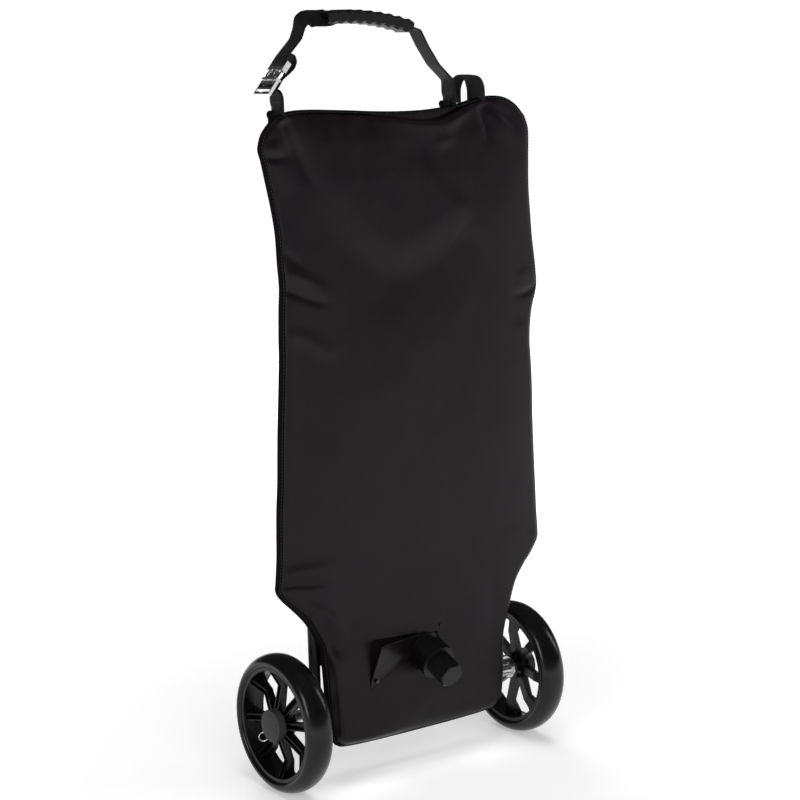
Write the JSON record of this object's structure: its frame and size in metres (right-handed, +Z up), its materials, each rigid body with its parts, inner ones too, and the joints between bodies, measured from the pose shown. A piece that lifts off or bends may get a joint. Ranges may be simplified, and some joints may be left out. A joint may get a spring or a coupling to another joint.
{
  "type": "wheeled waste water tank",
  "caption": "Collapsible waste water tank for caravans and campers: a film tank in a sewn cover, with a screw spout, a carrying handle and a wheeled axle.",
  "frame": {"origin": "the middle of the whole object's box, on the floor that the wheels stand on", "axes": "+X to the right seen from the front, -Y out of the front with the spout, +Z up; the wheels turn about X"},
  "size_m": [0.4052, 0.188, 0.927],
  "materials": {
    "cover_fabric": "coated satin cloth",
    "binding": "matte woven tape",
    "tank_film": "smooth film",
    "black_plastic": "fine grained moulding",
    "gasket_rubber": "matte",
    "collar_trim": "satin",
    "steel": "polished",
    "spacer_aluminium": "satin",
    "rim_plastic": "satin gloss",
    "hub_cap_plastic": "matte",
    "bush_plastic": "smooth",
    "tyre": "glossy smooth",
    "webbing": "woven polypropylene",
    "grip_rubber": "soft satin",
    "buckle_metal": "polished"
  },
  "bodies": {
    "tank": {"edge_binding": "binding", "front_panel": "cover_fabric", "back_panel": "cover_fabric", "film_tank": "tank_film", "tank_neck": "black_plastic", "slit_rivet": "steel", "axle_carrier": "black_plastic", "axle_bracket_left": "black_plastic", "axle_bracket_right": "black_plastic", "bracket_screws_left": "steel", "bracket_screws_right": "steel", "cover_rivets": "steel", "axle_rod": "steel", "axle_spacer_left": "spacer_aluminium", "axle_spacer_right": "spacer_aluminium", "wheel_washer_left": "steel", "wheel_washer_right": "steel", "strap_tab_left": "webbing", "strap_tab_right": "webbing", "hang_loop": "webbing"},
    "wheel_left": {"wheel_rim_left": "rim_plastic", "tyre_left": "tyre", "wheel_bush_left": "bush_plastic", "hub_cap_left": "hub_cap_plastic", "catch_spring_left": "steel"},
    "wheel_right": {"wheel_rim_right": "rim_plastic", "tyre_right": "tyre", "wheel_bush_right": "bush_plastic", "hub_cap_right": "hub_cap_plastic", "catch_spring_right": "steel"},
    "catch_left": {"catch_pin_left": "steel", "pull_ring_left": "steel"},
    "catch_right": {"catch_pin_right": "steel", "pull_ring_right": "steel"},
    "collar_gasket": {"collar_gasket": "gasket_rubber"},
    "collar": {"screw_collar": "black_plastic", "collar_ring": "collar_trim"},
    "cap_seal": {"cap_seal": "gasket_rubber"},
    "cap": {"spout_cap": "black_plastic"},
    "flap": {"spout_flap": "cover_fabric", "flap_stud": "steel"},
    "handle": {"handle_strap": "webbing", "grip": "grip_rubber", "lower_strap": "webbing", "strap_tail": "webbing", "buckle_socket": "buckle_metal", "buckle_plug": "buckle_metal"},
    "buckle_arm_front": {"buckle_arm_front": "buckle_metal"},
    "buckle_arm_back": {"buckle_arm_back": "buckle_metal"}
  },
  "joints": [
    {"name": "wheel_left_spin", "type": "hinge", "parent": "tank", "child": "wheel_left", "pos_m": [0, 0.00896, 0.085], "axis": [1, 0, 0], "continuous": true},
    {"name": "catch_left_pull", "type": "slide", "parent": "wheel_left", "child": "catch_left", "axis": [0, 0.6691, -0.7431], "range_m": [0, 0.003], "stiffness_N_per_m": 400, "deforming": ["catch_spring_left"]},
    {"name": "wheel_right_spin", "type": "hinge", "parent": "tank", "child": "wheel_right", "pos_m": [0, 0.00896, 0.085], "axis": [1, 0, 0], "continuous": true},
    {"name": "catch_right_pull", "type": "slide", "parent": "wheel_right", "child": "catch_right", "axis": [0, 0.6691, -0.7431], "range_m": [0, 0.003], "stiffness_N_per_m": 400, "deforming": ["catch_spring_right"]},
    {"name": "gasket_lift", "type": "slide", "parent": "tank", "child": "collar_gasket", "axis": [0, -0.9298, -0.3681], "range_m": [0, 0.035]},
    {"name": "collar_turn", "type": "hinge", "parent": "collar_gasket", "child": "collar", "pos_m": [0, -0.03163, 0.15577], "axis": [0, -0.9298, -0.3681], "continuous": true},
    {"name": "seal_lift", "type": "slide", "parent": "collar", "child": "cap_seal", "axis": [0, -0.9298, -0.3681], "range_m": [0, 0.03]},
    {"name": "cap_turn", "type": "hinge", "parent": "cap_seal", "child": "cap", "pos_m": [0, -0.03163, 0.15577], "axis": [0, -0.9298, -0.3681], "continuous": true},
    {"name": "flap_fold", "type": "hinge", "parent": "tank", "child": "flap", "pos_m": [-0.082, -0.03294, 0.11658], "axis": [0.8787, 0.0233, 0.4768], "range_deg": [-19, 28]},
    {"name": "handle_swing", "type": "hinge", "parent": "tank", "child": "handle", "pos_m": [0, 0.02052, 0.82682], "axis": [1, 0, 0], "range_deg": [-90, 90]},
    {"name": "buckle_arm_front_press", "type": "hinge", "parent": "handle", "child": "buckle_arm_front", "pos_m": [-0.18117, 0.01253, 0.84785], "axis": [-0.7694, 0.0312, 0.638], "range_deg": [0, 6], "stiffness_Nm_per_rad": 0.05},
    {"name": "buckle_arm_back_press", "type": "hinge", "parent": "handle", "child": "buckle_arm_back", "pos_m": [-0.18117, 0.03051, 0.84697], "axis": [-0.7694, 0.0312, 0.638], "range_deg": [-6, 0], "stiffness_Nm_per_rad": 0.05}
  ]
}
